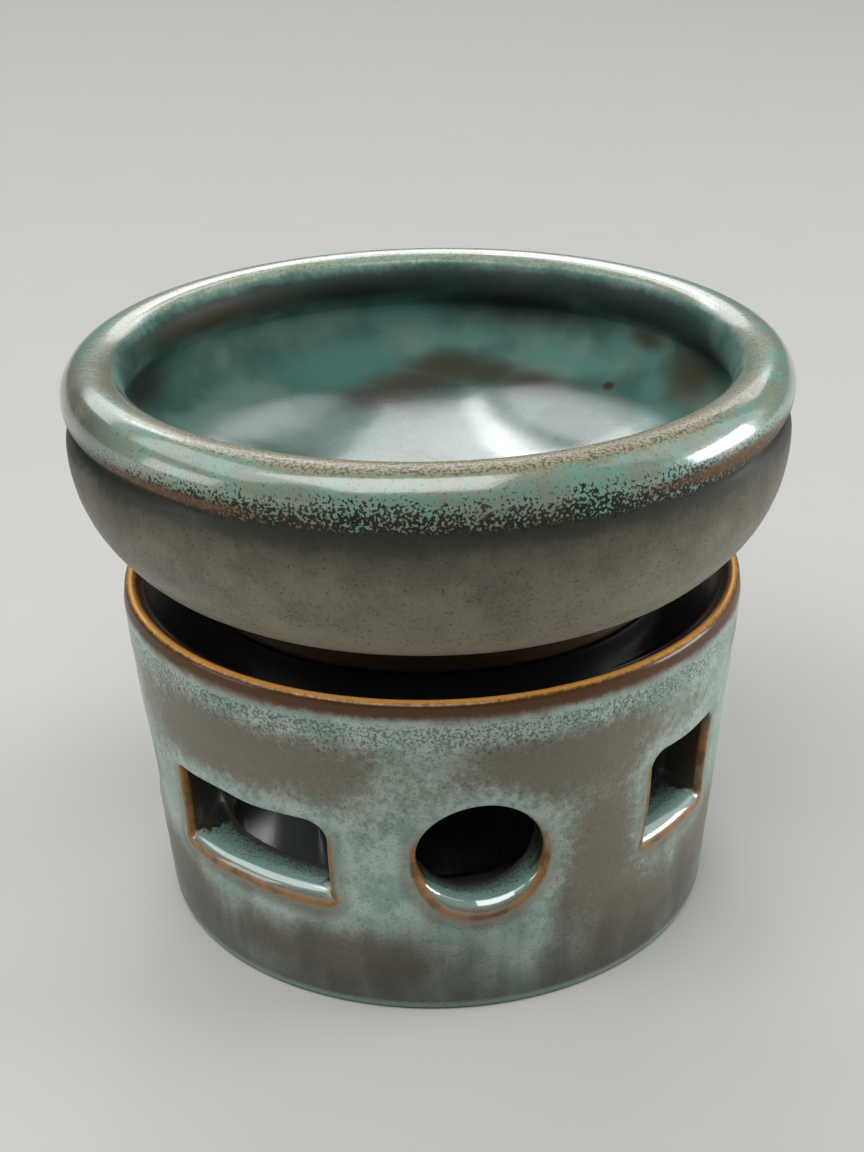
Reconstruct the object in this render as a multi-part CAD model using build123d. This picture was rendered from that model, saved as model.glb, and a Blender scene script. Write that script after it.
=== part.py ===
from build123d import *
import math
import os

# Essential oil burner: a bowl for oil and water stands on a windowed clay stand, over a tealight.
# Millimetres, +Z up. The origin is the middle of the stand's flat base, and -Y is the front.

# Stand: a thrown cylinder that flares to its rim
BASE_RADIUS = 41.8
RIM_RADIUS = 46.0
WALL = 7.5
FLOOR = 6.0
CHAMBER_HEIGHT = 38.4
LEDGE_THICKNESS = 5.8
RIM_WIDTH = 4.2
RIM_STEP = 0.3
RIM_CROWN = 1.0
BASE_EDGE = 0.8
FLOOR_CORNER = 5.0
LEDGE_CORNER_SHARE = 0.57
LEDGE_EDGE = 1.2

# Windows: eight cuts through the stand's wall, round and four-sided by turns
WINDOW_EDGE = 1.0
WINDOW_CORNER = 2.5
ROUND_WINDOW = 18.0
ROUND_RISE = 1.1
WIDE_WINDOW_WIDTH = 27.2
WIDE_WINDOW_HEIGHT = 13.0
WIDE_RISE = -0.4
NARROW_WINDOW_WIDTH = 15.8
NARROW_WINDOW_HEIGHT = 14.5
NARROW_RISE = 3.3

# Bowl: a round belly on a turned foot ring, under a fat rolled lip
FOOT_MARGIN = 6.8
FOOT_WIDTH = 3.2
FOOT_HEIGHT = 3.6
FOOT_EDGE = 0.6
LEDGE_LAP = 0.8
BELLY_RADIUS = 51.7
BELLY_CURVE = 20.0
BOWL_WALL = 7.2
BOWL_FLOOR = 5.2
BOWL_CORNER = 9.0
BOWL_SIDE_RISE = 2.7
COLLAR_HEIGHT = 6.9
LIP_ROLL = 4.5
LIP_PROUD = 0.2
LIP_CREASE_ANGLE = 28.0

# Tealight: a pressed cup with its wax, its wick and the disc that holds the wick upright
CUP_RADIUS = 19.0
CUP_HEIGHT = 16.0
CUP_WALL = 0.4
CUP_CORNER = 1.5
CUP_BEAD = 0.6
WAX_HEIGHT = 12.0
WICK_RADIUS = 0.8
WICK_TIP = 7.0
DISC_RADIUS = 6.5
DISC_THICKNESS = 0.4
COLLAR_WALL = 0.4
COLLAR_LENGTH = 4.0
CAST_GAP = 0.05

# Heights and radii that follow from the sizes above
LEDGE_TOP = FLOOR + CHAMBER_HEIGHT + LEDGE_THICKNESS
RIM_EDGE_TOP = LEDGE_TOP + RIM_STEP
STAND_TOP = RIM_EDGE_TOP + RIM_CROWN
RIM_INNER_RADIUS = RIM_RADIUS - RIM_WIDTH
FOOT_RADIUS = RIM_INNER_RADIUS - FOOT_MARGIN
FOOT_INNER_RADIUS = FOOT_RADIUS - FOOT_WIDTH
LEDGE_HOLE_RADIUS = FOOT_INNER_RADIUS - LEDGE_LAP
WALL_MIDDLE = FLOOR + CHAMBER_HEIGHT / 2
BELLY_BOTTOM = LEDGE_TOP + FOOT_HEIGHT
BELLY_MIDDLE = BELLY_BOTTOM + BELLY_CURVE
LIP_MIDDLE = BELLY_MIDDLE + COLLAR_HEIGHT
LIP_RADIUS = BELLY_RADIUS + LIP_PROUD - LIP_ROLL
CUP_FLOOR_TOP = FLOOR + CUP_WALL
WAX_TOP = FLOOR + WAX_HEIGHT


def wall_radius(height):
    """Radius of the stand's outside at a height above its base."""
    return BASE_RADIUS + (RIM_RADIUS - BASE_RADIUS) * height / RIM_EDGE_TOP


def turned(outline, roundings=()):
    """A closed half-section in radius and height, its corners rounded, turned about the Z axis."""
    section = make_face(outline)
    for corner, radius in roundings:
        section = fillet(section.vertices().sort_by_distance(corner)[0], radius)
    return revolve(Plane.XZ * section, Axis.Z)


def window_tunnel(opening, azimuth, rise):
    """A flat opening, pushed straight through the wall at an azimuth that counts from the front."""
    turn = math.radians(azimuth)
    outward = Vector(math.sin(turn), -math.cos(turn), 0)
    along = Vector(math.cos(turn), math.sin(turn), 0)
    inside = wall_radius(FLOOR) - 2 * WALL
    start = outward * inside + Vector(0, 0, WALL_MIDDLE + rise)
    plane = Plane(origin=start, x_dir=along, z_dir=outward)
    return extrude(plane * opening, 2 * WALL + RIM_RADIUS - inside)


def on_outer_wall(edge):
    """Whether an edge is part of a window's outline on the outside of the stand."""
    for share in (0, 0.5, 1):
        point = edge @ share
        if abs(math.hypot(point.X, point.Y) - wall_radius(point.Z)) > 0.01:
            return False
    return BASE_EDGE < edge.center().Z < LEDGE_TOP - LEDGE_THICKNESS


def make_stand():
    under_ledge = FLOOR + CHAMBER_HEIGHT
    rim_edge = (RIM_RADIUS, RIM_EDGE_TOP)
    rim_crest = (RIM_RADIUS - RIM_WIDTH / 2, STAND_TOP)
    rim_inside = (RIM_INNER_RADIUS, RIM_EDGE_TOP)
    base_corner = (BASE_RADIUS, 0)
    ledge_upper = (LEDGE_HOLE_RADIUS, LEDGE_TOP)
    ledge_lower = (LEDGE_HOLE_RADIUS, under_ledge)
    root_radius = wall_radius(under_ledge) - WALL
    ledge_root = (root_radius, under_ledge)
    ledge_corner = LEDGE_CORNER_SHARE * (root_radius - LEDGE_HOLE_RADIUS)
    floor_root = (wall_radius(FLOOR) - WALL, FLOOR)
    outline = [
        Polyline((0, FLOOR), (0, 0), base_corner, rim_edge),
        ThreePointArc(rim_edge, rim_crest, rim_inside),
        Polyline(rim_inside, (RIM_INNER_RADIUS, LEDGE_TOP), ledge_upper, ledge_lower,
                 ledge_root, floor_root, (0, FLOOR)),
    ]
    roundings = [
        (base_corner, BASE_EDGE),
        (ledge_upper, LEDGE_EDGE),
        (ledge_lower, LEDGE_EDGE),
        (ledge_root, ledge_corner),
        (floor_root, FLOOR_CORNER),
    ]
    stand = turned(outline, roundings)

    round_opening = Circle(ROUND_WINDOW / 2)
    wide_opening = RectangleRounded(WIDE_WINDOW_WIDTH, WIDE_WINDOW_HEIGHT, WINDOW_CORNER)
    narrow_opening = RectangleRounded(NARROW_WINDOW_WIDTH, NARROW_WINDOW_HEIGHT, WINDOW_CORNER)
    for quarter in (0, 90, 180, 270):
        stand -= window_tunnel(round_opening, quarter, ROUND_RISE)
    for half in (0, 180):
        stand -= window_tunnel(wide_opening, half - 45, WIDE_RISE)
        stand -= window_tunnel(narrow_opening, half + 45, NARROW_RISE)
    return fillet(stand.edges().filter_by(on_outer_wall), WINDOW_EDGE)


def make_bowl():
    crease = math.radians(LIP_CREASE_ANGLE)
    lip_reach = LIP_ROLL * math.cos(crease)
    crease_height = LIP_MIDDLE - LIP_ROLL * math.sin(crease)
    lip_outside = (LIP_RADIUS + lip_reach, crease_height)
    lip_crown = (LIP_RADIUS, LIP_MIDDLE + LIP_ROLL)
    lip_inside = (LIP_RADIUS - lip_reach, crease_height)
    curve_radius = BELLY_RADIUS - BELLY_CURVE
    belly_side = (BELLY_RADIUS, BELLY_MIDDLE)
    inner_radius = BELLY_RADIUS - BOWL_WALL
    inner_side = (inner_radius, BELLY_MIDDLE + BOWL_SIDE_RISE)

    # The inside is a shallow dish that meets its corner's arc without a step
    dish_middle = (0, BELLY_BOTTOM + BOWL_FLOOR)
    depth = inner_side[1] - dish_middle[1]
    corner_radius = inner_radius - BOWL_CORNER
    dish_curve = (corner_radius ** 2 + depth ** 2 - BOWL_CORNER ** 2) / (2 * (depth - BOWL_CORNER))
    dish_angle = math.degrees(math.asin(corner_radius / (dish_curve - BOWL_CORNER)))
    outline = [
        Polyline(dish_middle, (0, BELLY_BOTTOM), (curve_radius, BELLY_BOTTOM)),
        CenterArc((curve_radius, BELLY_MIDDLE), BELLY_CURVE, 270, 90),
        Line(belly_side, lip_outside),
        ThreePointArc(lip_outside, lip_crown, lip_inside),
        Line(lip_inside, inner_side),
        CenterArc((corner_radius, inner_side[1]), BOWL_CORNER, 0, dish_angle - 90),
        CenterArc((0, dish_middle[1] + dish_curve), dish_curve, dish_angle - 90, -dish_angle),
    ]
    body = turned(outline)

    ring_top = BELLY_BOTTOM + BOWL_FLOOR / 2
    ring_outside = (FOOT_RADIUS, LEDGE_TOP)
    ring_inside = (FOOT_INNER_RADIUS, LEDGE_TOP)
    ring = Polyline(ring_outside, (FOOT_RADIUS, ring_top), (FOOT_INNER_RADIUS, ring_top),
                    ring_inside, close=True)
    return body + turned(ring, [(ring_outside, FOOT_EDGE), (ring_inside, FOOT_EDGE)])


def make_tealight_cup():
    inner_radius = CUP_RADIUS - CUP_WALL
    cup_top = FLOOR + CUP_HEIGHT
    bead_middle = cup_top - CUP_BEAD
    outer_corner = (CUP_RADIUS, FLOOR)
    inner_corner = (inner_radius, CUP_FLOOR_TOP)
    outline = Polyline((0, FLOOR), outer_corner, (CUP_RADIUS, bead_middle),
                       (inner_radius, bead_middle), inner_corner, (0, CUP_FLOOR_TOP), close=True)
    cup = turned(outline, [(outer_corner, CUP_CORNER), (inner_corner, CUP_CORNER - CUP_WALL)])
    return cup + Pos(0, 0, bead_middle) * Torus(CUP_RADIUS, CUP_BEAD)


def make_wick_sustainer():
    bore = WICK_RADIUS + CAST_GAP
    outer = bore + COLLAR_WALL
    disc_top = CUP_FLOOR_TOP + DISC_THICKNESS
    collar_top = disc_top + COLLAR_LENGTH
    outline = Polyline((0, CUP_FLOOR_TOP), (DISC_RADIUS, CUP_FLOOR_TOP), (DISC_RADIUS, disc_top),
                       (outer, disc_top), (outer, collar_top), (bore, collar_top),
                       (bore, disc_top), (0, disc_top), close=True)
    return turned(outline)


def make_tealight_wick():
    disc_top = CUP_FLOOR_TOP + DISC_THICKNESS
    length = WAX_TOP + WICK_TIP - disc_top
    return Pos(0, 0, disc_top + length / 2) * Cylinder(WICK_RADIUS, length)


def make_tealight_wax():
    radius = CUP_RADIUS - CUP_WALL - CAST_GAP
    collar_radius = WICK_RADIUS + 2 * CAST_GAP + COLLAR_WALL
    disc_top = CUP_FLOOR_TOP + DISC_THICKNESS + CAST_GAP
    collar_top = disc_top + COLLAR_LENGTH
    wick_hole = WICK_RADIUS + CAST_GAP
    disc_hole = DISC_RADIUS + CAST_GAP
    lower_corner = (radius, CUP_FLOOR_TOP)
    outline = Polyline((disc_hole, CUP_FLOOR_TOP), lower_corner, (radius, WAX_TOP),
                       (wick_hole, WAX_TOP), (wick_hole, collar_top), (collar_radius, collar_top),
                       (collar_radius, disc_top), (disc_hole, disc_top), close=True)
    return turned(outline, [(lower_corner, CUP_CORNER)])


os.makedirs("parts", exist_ok=True)
export_step(make_stand(), "parts/stand.step")
export_step(make_bowl(), "parts/bowl.step")
export_step(make_tealight_cup(), "parts/tealight_cup.step")
export_step(make_tealight_wax(), "parts/tealight_wax.step")
export_step(make_tealight_wick(), "parts/tealight_wick.step")
export_step(make_wick_sustainer(), "parts/wick_sustainer.step")
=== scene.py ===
import math

import bmesh
import bpy
import numpy as np
from mathutils import Matrix, Vector, kdtree


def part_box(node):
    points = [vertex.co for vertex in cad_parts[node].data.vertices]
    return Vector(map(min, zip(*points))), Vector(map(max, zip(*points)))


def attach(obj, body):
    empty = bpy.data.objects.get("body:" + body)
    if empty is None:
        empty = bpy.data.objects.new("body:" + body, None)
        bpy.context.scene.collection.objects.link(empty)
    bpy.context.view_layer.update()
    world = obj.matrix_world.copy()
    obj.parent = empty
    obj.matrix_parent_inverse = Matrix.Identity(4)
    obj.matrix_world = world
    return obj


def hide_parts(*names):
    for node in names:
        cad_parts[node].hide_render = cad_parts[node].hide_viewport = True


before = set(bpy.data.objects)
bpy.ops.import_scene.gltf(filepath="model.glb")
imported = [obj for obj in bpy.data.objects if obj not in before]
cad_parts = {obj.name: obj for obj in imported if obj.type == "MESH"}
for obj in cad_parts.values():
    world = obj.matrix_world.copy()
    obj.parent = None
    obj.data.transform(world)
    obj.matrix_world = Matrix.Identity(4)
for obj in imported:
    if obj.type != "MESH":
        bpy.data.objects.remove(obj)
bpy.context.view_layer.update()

# Stand: a thick clay cylinder, thrown on the wheel with a closed floor, that flares a little to a rounded
# rim. Eight windows are cut through its wall by hand, and a ledge inside the rim carries the bowl. It is
# glazed all over, and the glaze breaks to amber where it runs thin on the edges.

stand_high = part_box("stand")[1]
rim_radius = stand_high.x
rim_top = stand_high.z
base_radius = 0.0418
rim_edge = 0.0010
rim_edge_top = rim_top - rim_edge
wall = 0.0075
floor_top = 0.0060
ledge_top = 0.0502
ledge_under = 0.0444
ledge_hole = 0.0310
rim_width = 0.0042
rim_lean = 0.0004
rim_crest = rim_radius - rim_lean - rim_edge
band_low = 0.0120
band_top = 0.0400
STEPS_ACROSS = 32
STEPS_UP = 24


def wall_radius(height):
    """Radius of the stand's outside at a height above its base."""
    return base_radius + (rim_radius - base_radius) * height / rim_edge_top


def wall_inside(height):
    """Radius of the stand's inside at a height above its base."""
    return wall_radius(height) - wall


def on_wall(azimuths, levels, radius):
    """Points of a turned wall at these azimuths from the front and heights."""
    reach = radius(levels)
    return np.stack((reach * np.sin(azimuths), -reach * np.cos(azimuths), levels), axis=1)


def at_face(points, depth, radius, turn):
    """Places on the cut of a window at that azimuth, at a depth inwards from the wall of that radius."""
    outward = np.array((math.sin(turn), -math.cos(turn), 0))
    along = np.array((math.cos(turn), math.sin(turn), 0))
    upward = np.array((0, 0, 1))
    reach = np.sqrt(radius(points[:, 1]) ** 2 - points[:, 0] ** 2) - depth
    return points[:, :1] * along + reach[:, None] * outward + points[:, 1:] * upward


def arc(middle, radius, start, end, steps):
    """Points in radius and height along an arc, with its angles in degrees from outwards to upwards."""
    angles = np.radians(np.linspace(start, end, steps + 1))
    return [(middle[0] + radius * math.cos(a), middle[1] + radius * math.sin(a)) for a in angles]


def run(start, end, steps):
    """Points in radius and height along a straight line."""
    return [tuple(point) for point in np.linspace(start, end, steps + 1)]


def window_outline(half_width, half_height, corners):
    """Points round a cut, clockwise from its top left corner, and the outward direction at each."""
    top_left, top_right, low_right, low_left = corners
    sides = (
        ((-half_width, half_height), (1, 0), (0, 1), 2 * half_width, top_left, top_right, STEPS_ACROSS),
        ((half_width, half_height), (0, -1), (1, 0), 2 * half_height, top_right, low_right, STEPS_UP),
        ((half_width, -half_height), (-1, 0), (0, -1), 2 * half_width, low_right, low_left, STEPS_ACROSS),
        ((-half_width, -half_height), (0, 1), (-1, 0), 2 * half_height, low_left, top_left, STEPS_UP),
    )
    points = []
    normals = []
    for corner, along, out, length, first, last, steps in sides:
        corner, along, out = np.array(corner), np.array(along), np.array(out)
        arc_first = first * math.pi / 4
        arc_last = last * math.pi / 4
        whole = arc_first + arc_last + length - first - last
        steps_first = max(4, round(steps * arc_first / whole))
        steps_last = max(4, round(steps * arc_last / whole))
        steps_straight = max(0, steps - steps_first - steps_last)
        steps_first = steps - steps_straight - steps_last
        for share in np.arange(steps_first) / steps_first:
            turn = math.pi / 4 * (1 - share)
            away = out * math.cos(turn) - along * math.sin(turn)
            points.append(corner + along * first - out * first + away * first)
            normals.append(away)
        for share in np.arange(steps_straight) / max(1, steps_straight):
            points.append(corner + along * (first + share * (length - first - last)))
            normals.append(out)
        for share in np.arange(steps_last) / steps_last:
            turn = math.pi / 4 * share
            away = out * math.cos(turn) + along * math.sin(turn)
            points.append(corner + along * (length - last) - out * last + away * last)
            normals.append(away)
    return np.array(points), np.array(normals)


# Each window: its azimuth from the front, its sector's sides, its height, its half sizes with a full soft
# edge all round, its corner radii from top left clockwise, and the seed of its hand-cut unevenness
round_half = 0.0100
round_height = 0.0263
wide_half = (0.0146, 0.0075)
wide_height = 0.0248
narrow_half = (0.0089, 0.00825)
narrow_height = 0.0285
round_corners = (round_half,) * 4
wide_corners = (0.0016, 0.0042, 0.0022, 0.0020)
narrow_corners = (0.0036, 0.0022, 0.0020, 0.0016)
back_corners = (0.0030, 0.0042, 0.0040, 0.0068)
windows = [
    (0, -18.5, 22.5, round_height, (round_half, round_half), round_corners, 1),
    (44.3, 22.5, 67.5, narrow_height, narrow_half, narrow_corners, 2),
    (90, 67.5, 108.5, round_height, (round_half, round_half), round_corners, 3),
    (135, 108.5, 161.5, wide_height, wide_half, wide_corners, 4),
    (180, 161.5, 202.5, round_height, (round_half, round_half), round_corners, 5),
    (225, 202.5, 247.5, narrow_height, narrow_half, narrow_corners, 6),
    (270, 247.5, 288.5, round_height, (round_half, round_half), round_corners, 7),
    (314.5, 288.5, 341.5, wide_height, wide_half, wide_corners, 8),
]
window_edge = 0.0012
inner_edge = 0.0009
unevenness = 0.00007
edge_sway = 0.15
sill_gain = 0.9
top_depth = 0.7
sill_depth = 1.7
crisp_share = 0.45
a_turn = 6.28

stand_points = []
stand_faces = []
stand_inward = []
cut_lines = []
cut_lowness = []


def add_loops(loops, inward):
    """Adds closed loops of points, each one joined to the next by a band of faces."""
    first = sum(len(group) for group in stand_points)
    count = len(loops[0])
    for loop, share in zip(loops, inward):
        stand_points.append(np.asarray(loop))
        stand_inward.append(np.full(count, share))
    for band in range(len(loops) - 1):
        start = first + band * count
        for step in range(count):
            after = (step + 1) % count
            stand_faces.append((start + step, start + after, start + count + after, start + count + step))


for azimuth, side_left, side_right, middle, half, corners, seed in windows:
    turn = math.radians(azimuth)
    face_points, face_normals = window_outline(*half, corners)
    chance = np.random.default_rng(seed)
    angles = np.arctan2(face_points[:, 1], face_points[:, 0])
    waver = sum(chance.normal() * np.sin(k * angles + chance.uniform(0, a_turn)) for k in (2, 3, 4))
    face_points = face_points + face_normals * (unevenness * waver)[:, None]
    lowness = (1 - face_normals[:, 1]) / 2
    edge = window_edge * (1 + edge_sway * np.sin(2 * angles + chance.uniform(0, a_turn)))
    edge = edge * (1 + sill_gain * lowness ** 2)
    edge_depth = window_edge * (top_depth + sill_depth * lowness ** 2)
    tunnel_points = face_points - face_normals * edge[:, None]
    edge = edge * (crisp_share + (1 - crisp_share) * np.clip((lowness - 0.5) / 0.4, 0, 1))
    face_points = tunnel_points + face_normals * edge[:, None]
    face_points[:, 1] += middle
    tunnel_points[:, 1] += middle
    inner_corners = corners if corners == round_corners else back_corners
    back_points, back_normals = window_outline(*half, inner_corners)
    back_points = back_points - back_normals * window_edge
    back_points[:, 1] += middle
    sector = [np.radians(np.linspace(side_left, side_right, STEPS_ACROSS, endpoint=False)),
              np.full(STEPS_UP, math.radians(side_right)),
              np.radians(np.linspace(side_right, side_left, STEPS_ACROSS, endpoint=False)),
              np.full(STEPS_UP, math.radians(side_left))]
    heights = [np.full(STEPS_ACROSS, band_top),
               np.linspace(band_top, band_low, STEPS_UP, endpoint=False),
               np.full(STEPS_ACROSS, band_low),
               np.linspace(band_low, band_top, STEPS_UP, endpoint=False)]
    frame_azimuth = np.concatenate(sector)
    frame_height = np.concatenate(heights)
    loops = []
    inward = []
    # From the sector's frame over the wall's face to the cut, then round the soft edge into the tunnel
    face_azimuth = turn + np.arcsin(face_points[:, 0] / wall_radius(face_points[:, 1]))
    for share in 1 - (1 - np.linspace(0, 1, 15)) ** 1.5:
        azimuths = frame_azimuth + (face_azimuth - frame_azimuth) * share
        levels = frame_height + (face_points[:, 1] - frame_height) * share
        loops.append(on_wall(azimuths, levels, wall_radius))
        inward.append(0.0)
    cut_lines.append(loops[-1])
    cut_lowness.append(lowness)
    for bend in np.linspace(0, math.pi / 2, 8)[1:]:
        points = tunnel_points + face_normals * (edge * (1 - math.sin(bend)))[:, None]
        loops.append(at_face(points, edge_depth * (1 - math.cos(bend)), wall_radius, turn))
        inward.append(0.15 * bend / (math.pi / 2))
    tunnel_start = loops[-1]
    # Through the wall, round the inner edge, and over the inside back to the frame
    inner_points = at_face(back_points, -inner_edge, wall_inside, turn)
    for share in np.linspace(0, 1, 9)[1:]:
        loops.append(tunnel_start + (inner_points - tunnel_start) * share)
        inward.append(0.15 + 0.65 * share)
    for bend in np.linspace(math.pi / 2, 0, 6)[1:]:
        points = back_points + back_normals * (inner_edge * (1 - math.sin(bend)))
        loops.append(at_face(points, -inner_edge * (1 - math.cos(bend)), wall_inside, turn))
        inward.append(1 - 0.2 * bend / (math.pi / 2))
    back_points = back_points + back_normals * inner_edge
    back_azimuth = turn + np.arcsin(back_points[:, 0] / wall_inside(back_points[:, 1]))
    for share in np.linspace(0, 1, 7)[1:]:
        azimuths = back_azimuth + (frame_azimuth - back_azimuth) * share
        levels = back_points[:, 1] + (frame_height - back_points[:, 1]) * share
        loops.append(on_wall(azimuths, levels, wall_inside))
        inward.append(1.0)
    add_loops(loops, inward)

stand_azimuths = np.radians(np.concatenate(
    [np.linspace(left, right, STEPS_ACROSS, endpoint=False) for _, left, right, *_ in windows]))


def add_turned(outline, inward):
    """Adds the rings of an outline in radius and height, closed to a point where it meets the axis."""
    rings = []
    for radius, height in outline:
        ring = np.stack((radius * np.sin(stand_azimuths), -radius * np.cos(stand_azimuths),
                         np.full(len(stand_azimuths), height)), axis=1)
        rings.append(ring)
    add_loops(rings, inward)


base_edge = 0.0008
base_outline = run((0.0, 0.0), (base_radius - base_edge, 0.0), 12)
base_outline += arc((base_radius - base_edge, base_edge), base_edge, -90, 0, 5)[1:]
base_outline += run((wall_radius(base_edge), base_edge), (wall_radius(band_low), band_low), 12)[1:]
add_turned(base_outline, np.zeros(len(base_outline)))

lean_height = rim_edge_top - 0.0018
rim_outline = run((wall_radius(band_top), band_top), (wall_radius(lean_height), lean_height), 12)
rim_outline += run((wall_radius(lean_height), lean_height), (rim_radius - rim_lean, rim_edge_top), 4)[1:]
rim_outline += arc((rim_crest, rim_edge_top), rim_edge, 0, 105, 12)[1:]
ledge_start = rim_radius - rim_width
slope_start, slope_top = rim_outline[-1]
for share in np.linspace(0, 1, 11)[1:]:
    drop = 1 - (1 - share) ** 1.9
    rim_outline.append((slope_start + (ledge_start - slope_start) * share,
                        slope_top + (ledge_top - slope_top) * drop))
outside_count = len(rim_outline) - 8
ledge_dip = 0.00016
seat_radius = 0.0358
for share in np.linspace(0, 1, 9)[1:]:
    sag = ledge_dip * math.sin(math.pi * share) ** 0.7
    rim_outline.append((ledge_start + (seat_radius - ledge_start) * share, ledge_top - sag))
hole_edge = 0.0012
rim_outline += run((seat_radius, ledge_top), (ledge_hole + hole_edge, ledge_top), 4)[1:]
rim_outline += arc((ledge_hole + hole_edge, ledge_top - hole_edge), hole_edge, 90, 180, 5)[1:]
rim_outline += run((ledge_hole, ledge_top - hole_edge), (ledge_hole, ledge_under + hole_edge), 2)[1:]
rim_outline += arc((ledge_hole + hole_edge, ledge_under + hole_edge), hole_edge, 180, 270, 5)[1:]
ledge_corner = 0.0036
root = wall_radius(band_top) - wall
rim_outline += arc((root - ledge_corner, ledge_under - ledge_corner), ledge_corner, 90, 0, 6)
rim_outline.append((root, band_top))
rim_inward = np.ones(len(rim_outline))
rim_inward[:outside_count] = 0
rim_inward[outside_count:outside_count + 4] = (0.2, 0.5, 0.8, 0.9)
add_turned(rim_outline, rim_inward)

floor_corner = 0.0050
low_root = wall_radius(band_low) - wall
chamber_outline = [(low_root, band_low)]
chamber_outline += arc((low_root - floor_corner, floor_top + floor_corner), floor_corner, 0, -90, 7)
chamber_outline += run((low_root - floor_corner, floor_top), (0.0, floor_top), 12)[1:]
add_turned(chamber_outline, np.ones(len(chamber_outline)))


def finished_mesh(name, points, faces, attributes):
    """A mesh with point attributes, its doubles merged and its faces turned outwards."""
    mesh = bpy.data.meshes.new(name)
    mesh.from_pydata(np.asarray(points).tolist(), [], faces)
    for label, values in attributes.items():
        layer = mesh.attributes.new(label, "FLOAT", "POINT")
        layer.data.foreach_set("value", np.asarray(values, np.float32))
    work = bmesh.new()
    work.from_mesh(mesh)
    bmesh.ops.remove_doubles(work, verts=work.verts, dist=2e-6)
    bmesh.ops.dissolve_degenerate(work, edges=work.edges, dist=1e-7)
    bmesh.ops.recalc_face_normals(work, faces=work.faces)
    work.to_mesh(mesh)
    work.free()
    mesh.shade_smooth()
    return mesh


def placed(name, mesh):
    """The object that shows a mesh, at the origin."""
    piece = bpy.data.objects.new(name, mesh)
    bpy.context.scene.collection.objects.link(piece)
    return piece


stand_points = np.concatenate(stand_points)
stand_inward = np.concatenate(stand_inward)
reach = np.hypot(stand_points[:, 0], stand_points[:, 1])
rim_reach = np.hypot(reach - rim_crest, stand_points[:, 2] - rim_top)
edges = kdtree.KDTree(sum(len(line) for line in cut_lines))
for index, point in enumerate(np.concatenate(cut_lines)):
    edges.insert(point, index)
edges.balance()
nearest = [edges.find(point) for point in stand_points]
cut_reach = np.array([found[2] for found in nearest])
cut_lowness = np.concatenate(cut_lowness)[[found[1] for found in nearest]]
free_wall = (stand_inward < 0.01) * np.clip(stand_points[:, 2] / 0.006, 0, 1)
free_wall *= np.clip((rim_edge_top - stand_points[:, 2]) / 0.004, 0, 1)
free_wall *= np.clip(cut_reach / 0.003, 0, 1)
stand_mesh = finished_mesh("stand", stand_points, stand_faces, {
    "inward": stand_inward, "rim_reach": rim_reach, "cut_reach": cut_reach,
    "cut_lowness": cut_lowness, "thrown": free_wall})
stand_piece = placed("glazed_stand", stand_mesh)


class Wire:
    """A socket of a node tree. Sums on it add Math nodes, and node() adds any other kind of node."""

    def __init__(self, tree, socket=None):
        self.tree = tree
        self.socket = socket

    def node(self, kind, settings, sockets, output=0):
        made = self.tree.nodes.new(kind)
        for name, value in settings.items():
            setattr(made, name, value)
        for name, value in sockets.items():
            if isinstance(value, Wire):
                self.tree.links.new(value.socket, made.inputs[name])
            else:
                made.inputs[name].default_value = value
        return Wire(self.tree, made.outputs[output])

    def maths(self, operation, first, second=0.0):
        return self.node("ShaderNodeMath", {"operation": operation}, {0: first, 1: second})

    def __add__(self, other):
        return self.maths("ADD", self, other)

    def __radd__(self, other):
        return self.maths("ADD", other, self)

    def __sub__(self, other):
        return self.maths("SUBTRACT", self, other)

    def __rsub__(self, other):
        return self.maths("SUBTRACT", other, self)

    def __mul__(self, other):
        return self.maths("MULTIPLY", self, other)

    def __rmul__(self, other):
        return self.maths("MULTIPLY", other, self)

    def __truediv__(self, other):
        return self.maths("DIVIDE", self, other)


# The wheel leaves faint rings on a thrown wall, and the drying clay goes a little out of round
thrown = bpy.data.node_groups.new("thrown surface", "GeometryNodeTree")
thrown.interface.new_socket("Geometry", in_out="INPUT", socket_type="NodeSocketGeometry")
for label in ("Ring Depth", "Ring Spacing", "Sway", "Seed"):
    thrown.interface.new_socket(label, in_out="INPUT", socket_type="NodeSocketFloat")
thrown.interface.new_socket("Glaze", in_out="INPUT", socket_type="NodeSocketMaterial")
thrown.interface.new_socket("Geometry", in_out="OUTPUT", socket_type="NodeSocketGeometry")
thrown_inputs = thrown.nodes.new("NodeGroupInput")
clay = Wire(thrown)
given = {socket.name: Wire(thrown, socket) for socket in thrown_inputs.outputs}
place = clay.node("GeometryNodeInputPosition", {}, {})
height = clay.node("ShaderNodeSeparateXYZ", {}, {0: place}, 2)
ring_noise = clay.node("ShaderNodeTexNoise", {"noise_dimensions": "1D"}, {
    "W": height / given["Ring Spacing"] + given["Seed"], "Scale": 1.0, "Detail": 1.0})
sway_noise = clay.node("ShaderNodeTexNoise", {"noise_dimensions": "4D"}, {
    "Vector": place, "W": given["Seed"], "Scale": 26.0, "Detail": 1.0})
free = clay.node("GeometryNodeInputNamedAttribute", {"data_type": "FLOAT"}, {"Name": "thrown"})
swell = ((ring_noise - 0.5) * given["Ring Depth"] + (sway_noise - 0.5) * given["Sway"]) * free
facing = clay.node("GeometryNodeInputNormal", {}, {})
shift = clay.node("ShaderNodeVectorMath", {"operation": "SCALE"}, {0: facing, "Scale": swell})
moved = clay.node("GeometryNodeSetPosition", {}, {"Geometry": given["Geometry"], "Offset": shift})
joined = clay.node("GeometryNodeRealizeInstances", {}, {"Geometry": moved})
glazed = clay.node("GeometryNodeSetMaterial", {}, {"Geometry": joined, "Material": given["Glaze"]})
thrown.links.new(glazed.socket, thrown.nodes.new("NodeGroupOutput").inputs["Geometry"])


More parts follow.
